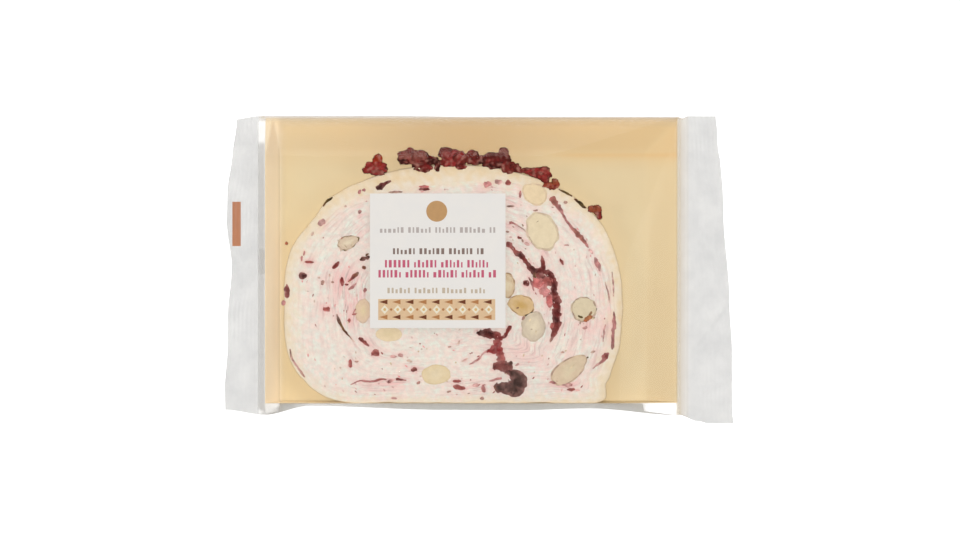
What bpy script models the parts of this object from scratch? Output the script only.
"""A slice of rolled nougat in a sealed clear pack, lying on its back.

The pack is a tube of clear film round a shallow card tray, pinched flat into a fin at each end.
It is modelled as one closed solid of the pack's outer form, with its label as a second solid on top.
X runs along the film tube, Y across it and Z up. The origin is on the flat underside, below the
middle of the tray's rim. Front is -Y and back is +Y.
"""

import math

import bmesh
import bpy

MM = 0.001

# The tray in the pack: the edges of its flat base and of its splayed rim
BASE_LEFT = -77.0 * MM
BASE_RIGHT = 69.8 * MM
BASE_FRONT = -56.4 * MM
BASE_BACK = 43.7 * MM
RIM_LEFT = -82.6 * MM
RIM_RIGHT = 82.6 * MM
RIM_FRONT = -57.2 * MM
RIM_BACK = 57.2 * MM

# How high the taut film lies over the tray's four rims and over the slice's crust
LEFT_RIM_HEIGHT = 13.1 * MM
RIGHT_RIM_HEIGHT = 6.8 * MM
FRONT_RIM_HEIGHT = 14.3 * MM
BACK_RIM_HEIGHT = 6.9 * MM
CRUST_HEIGHT = 13.4 * MM
CRUST_BACK = 41.0 * MM
SLICE_RIGHT = 59.0 * MM
SLICE_LEFT = -62.0 * MM

# From the tray's far corner to the slice's shoulder: which way, and how far the film spans
SHOULDER_DIRECTION = (0.8, 0.6)
SHOULDER_DISTANCE = 52.0 * MM

# The loose fold of film in front of the tray, and the least height of the pack's edge
FOLD_HEIGHT = 8.2 * MM
LIP = 0.7 * MM
EDGE_SOFTNESS = 0.35 * MM

# The fins: where they leave the pack, how thick they are, and how they droop and wave
LEFT_ROOT = -85.8 * MM
RIGHT_ROOT = 86.2 * MM
FIN_THICKNESS = 1.2 * MM
LEFT_FIN_HEIGHT = 6.4 * MM
RIGHT_FIN_HEIGHT = 3.9 * MM
FIN_DROOP = 1.9 * MM
FIN_WAVE = 0.5 * MM
FIN_WAVELENGTH = 46.0 * MM

# The pack's outline from above: (place along the edge, where the edge is there)
FRONT_EDGE = [
    (-99.0 * MM, -60.0 * MM),
    (-83.0 * MM, -61.9 * MM),
    (-65.0 * MM, -58.4 * MM),
    (-10.0 * MM, -60.0 * MM),
    (20.0 * MM, -60.1 * MM),
    (47.0 * MM, -59.4 * MM),
    (83.0 * MM, -62.0 * MM),
    (91.0 * MM, -64.6 * MM),
    (95.0 * MM, -65.4 * MM),
    (105.2 * MM, -65.5 * MM),
]
BACK_EDGE = [
    (-99.0 * MM, 56.1 * MM),
    (-84.0 * MM, 57.9 * MM),
    (-30.0 * MM, 57.9 * MM),
    (4.0 * MM, 57.5 * MM),
    (82.6 * MM, 57.5 * MM),
    (84.6 * MM, 57.0 * MM),
    (87.0 * MM, 57.9 * MM),
    (105.2 * MM, 57.9 * MM),
]
LEFT_END = [
    (-61.0 * MM, -98.8 * MM),
    (-50.0 * MM, -99.0 * MM),
    (-34.0 * MM, -97.8 * MM),
    (-24.0 * MM, -97.8 * MM),
    (-6.0 * MM, -96.2 * MM),
    (10.0 * MM, -98.2 * MM),
    (20.0 * MM, -98.0 * MM),
    (36.0 * MM, -95.9 * MM),
    (57.0 * MM, -94.2 * MM),
]
RIGHT_END = [
    (-65.5 * MM, 105.2 * MM),
    (-61.0 * MM, 104.8 * MM),
    (-38.0 * MM, 104.7 * MM),
    (-18.0 * MM, 103.6 * MM),
    (14.0 * MM, 101.2 * MM),
    (49.0 * MM, 98.7 * MM),
    (58.0 * MM, 98.1 * MM),
]

# The square label on the film
LABEL_LEFT = -40.6 * MM
LABEL_RIGHT = 13.6 * MM
LABEL_FRONT = -27.1 * MM
LABEL_BACK = 26.7 * MM
LABEL_GAP = 0.3 * MM
LABEL_THICKNESS = 0.25 * MM
LABEL_CELLS = 12

# Cells of the film's grid along and across the tube
CELLS_ALONG = 50
CELLS_ACROSS = 25


def clear_scene():
    for old in list(bpy.data.objects):
        bpy.data.objects.remove(old, do_unlink=True)


def straight(knots, at):
    """Read a line drawn straight from knot to knot."""
    for (start, low), (end, high) in zip(knots, knots[1:]):
        if at <= end:
            break
    share = min(max((at - start) / (end - start), 0.0), 1.0)
    return low + (high - low) * share


def smooth(knots, at):
    """Read a line that eases from knot to knot."""
    for (start, low), (end, high) in zip(knots, knots[1:]):
        if at <= end:
            break
    share = min(max((at - start) / (end - start), 0.0), 1.0)
    return low + (high - low) * share * share * (3.0 - 2.0 * share)


def lowest(heights):
    """The least of several heights, rounded where two of them meet."""
    floor = min(heights)
    total = sum(math.exp((floor - height) / EDGE_SOFTNESS) for height in heights)
    return floor - EDGE_SOFTNESS * math.log(total)


def highest(heights):
    return -lowest([-height for height in heights])


def tray_top(x, y):
    """Film drawn taut over the rims and the slice: the lowest of the planes that bound it."""
    rise = (FRONT_RIM_HEIGHT - CRUST_HEIGHT) / (CRUST_BACK - RIM_FRONT)
    crown = CRUST_HEIGHT + rise * (CRUST_BACK - y)
    left_slope = (FRONT_RIM_HEIGHT - LEFT_RIM_HEIGHT) / (SLICE_LEFT - RIM_LEFT)
    left = LEFT_RIM_HEIGHT + left_slope * (x - RIM_LEFT)
    right_slope = (CRUST_HEIGHT - RIGHT_RIM_HEIGHT) / (RIM_RIGHT - SLICE_RIGHT)
    right = RIGHT_RIM_HEIGHT + right_slope * (RIM_RIGHT - x)
    back_slope = (CRUST_HEIGHT - BACK_RIM_HEIGHT) / (RIM_BACK - CRUST_BACK)
    back = BACK_RIM_HEIGHT + back_slope * (RIM_BACK - y)
    in_x, in_y = SHOULDER_DIRECTION
    inward = in_x * (RIM_RIGHT - x) + in_y * (RIM_BACK - y)
    corner = RIGHT_RIM_HEIGHT + (CRUST_HEIGHT - RIGHT_RIM_HEIGHT) * inward / SHOULDER_DISTANCE
    edge = smooth(FRONT_EDGE, x)
    front_slope = (FRONT_RIM_HEIGHT - FOLD_HEIGHT) / (RIM_FRONT - edge)
    front = FOLD_HEIGHT + front_slope * (y - edge)
    return lowest([crown, left, right, back, corner, front])


def tray_underside(x, y):
    """Flat below the tray's base, and up its front and back walls."""
    back_share = (y - BASE_BACK) / (smooth(BACK_EDGE, x) - BASE_BACK)
    front_share = (BASE_FRONT - y) / (BASE_FRONT - smooth(FRONT_EDGE, x))
    back = (BACK_RIM_HEIGHT - LIP) * back_share
    front = (FOLD_HEIGHT - LIP) * front_share
    return highest([0.0, back, front])


def fin_middle(x, y):
    """The middle height of the pinched film, drooping and waving towards its cut edge."""
    height = straight([(LEFT_ROOT, LEFT_FIN_HEIGHT), (RIGHT_ROOT, RIGHT_FIN_HEIGHT)], x)
    out_left = (LEFT_ROOT - x) / (LEFT_ROOT - smooth(LEFT_END, y))
    out_right = (x - RIGHT_ROOT) / (smooth(RIGHT_END, y) - RIGHT_ROOT)
    out = max(out_left, out_right, 0.0)
    wave = FIN_WAVE * math.sin(2.0 * math.pi * y / FIN_WAVELENGTH + x / (9.0 * MM))
    return height + out * (wave - FIN_DROOP)


def film_top(x, y):
    shares = [(LEFT_ROOT, 0.0), (RIM_LEFT, 1.0), (RIM_RIGHT, 1.0), (RIGHT_ROOT, 0.0)]
    share = straight(shares, x)
    fin = fin_middle(x, y) + FIN_THICKNESS / 2.0
    return fin + (tray_top(x, y) - fin) * share


def film_underside(x, y):
    shares = [(LEFT_ROOT, 0.0), (BASE_LEFT, 1.0), (BASE_RIGHT, 1.0), (RIGHT_ROOT, 0.0)]
    share = straight(shares, x)
    fin = fin_middle(x, y) - FIN_THICKNESS / 2.0
    return fin + (tray_underside(x, y) - fin) * share


def place_on_film(along, across):
    """Turn a grid position, 0 to 1 each way, into x and y, with lines on every fold."""
    nearer_end = FRONT_EDGE[0] if along < 0.5 else FRONT_EDGE[-1]
    plain_y = straight([(0.0, nearer_end[1]), (0.08, RIM_FRONT), (1.0, RIM_BACK)], across)
    columns = [
        (0.00, smooth(LEFT_END, plain_y)),
        (0.14, LEFT_ROOT),
        (0.20, RIM_LEFT),
        (0.26, BASE_LEFT),
        (0.74, BASE_RIGHT),
        (0.80, RIM_RIGHT),
        (0.86, RIGHT_ROOT),
        (1.00, smooth(RIGHT_END, plain_y)),
    ]
    x = straight(columns, along)
    rows = [
        (0.00, smooth(FRONT_EDGE, x)),
        (0.08, RIM_FRONT),
        (0.12, BASE_FRONT),
        (0.80, CRUST_BACK),
        (0.84, BASE_BACK),
        (1.00, smooth(BACK_EDGE, x)),
    ]
    return x, straight(rows, across)


def plain_material(name, colour, roughness, metallic=0.0):
    material = bpy.data.materials.new(name)
    material.use_nodes = True
    shader = material.node_tree.nodes["Principled BSDF"]
    shader.inputs["Base Color"].default_value = (*colour, 1.0)
    shader.inputs["Roughness"].default_value = roughness
    shader.inputs["Metallic"].default_value = metallic
    return material


def finish_object(name, bm, material):
    bmesh.ops.recalc_face_normals(bm, faces=bm.faces)
    mesh = bpy.data.meshes.new(name)
    bm.to_mesh(mesh)
    bm.free()
    mesh.shade_smooth()
    mesh.set_sharp_from_angle(angle=math.radians(35.0))
    mesh.materials.append(material)
    part = bpy.data.objects.new(name, mesh)
    bpy.context.scene.collection.objects.link(part)
    return part


def thicken(bm, raise_by):
    """Extrude every face of a flat sheet and lift the copy to its new height."""
    made = bmesh.ops.extrude_face_region(bm, geom=list(bm.faces))
    for element in made["geom"]:
        if isinstance(element, bmesh.types.BMVert):
            element.co.z = raise_by(element.co.x, element.co.y)


def build_wrapper():
    bm = bmesh.new()
    bmesh.ops.create_grid(bm, x_segments=CELLS_ALONG, y_segments=CELLS_ACROSS, size=0.5)
    for vert in bm.verts:
        x, y = place_on_film(vert.co.x + 0.5, vert.co.y + 0.5)
        vert.co = (x, y, film_underside(x, y))
    thicken(bm, film_top)
    return finish_object("wrapper", bm, plain_material("clear_film", (0.86, 0.84, 0.80), 0.15))


def build_label():
    bm = bmesh.new()
    bmesh.ops.create_grid(bm, x_segments=LABEL_CELLS, y_segments=LABEL_CELLS, size=0.5)
    for vert in bm.verts:
        x = straight([(-0.5, LABEL_LEFT), (0.5, LABEL_RIGHT)], vert.co.x)
        y = straight([(-0.5, LABEL_FRONT), (0.5, LABEL_BACK)], vert.co.y)
        vert.co = (x, y, film_top(x, y) + LABEL_GAP)
    thicken(bm, lambda x, y: film_top(x, y) + LABEL_GAP + LABEL_THICKNESS)
    return finish_object("label", bm, plain_material("label_paper", (0.82, 0.80, 0.78), 0.5))


clear_scene()
build_wrapper()
build_label()
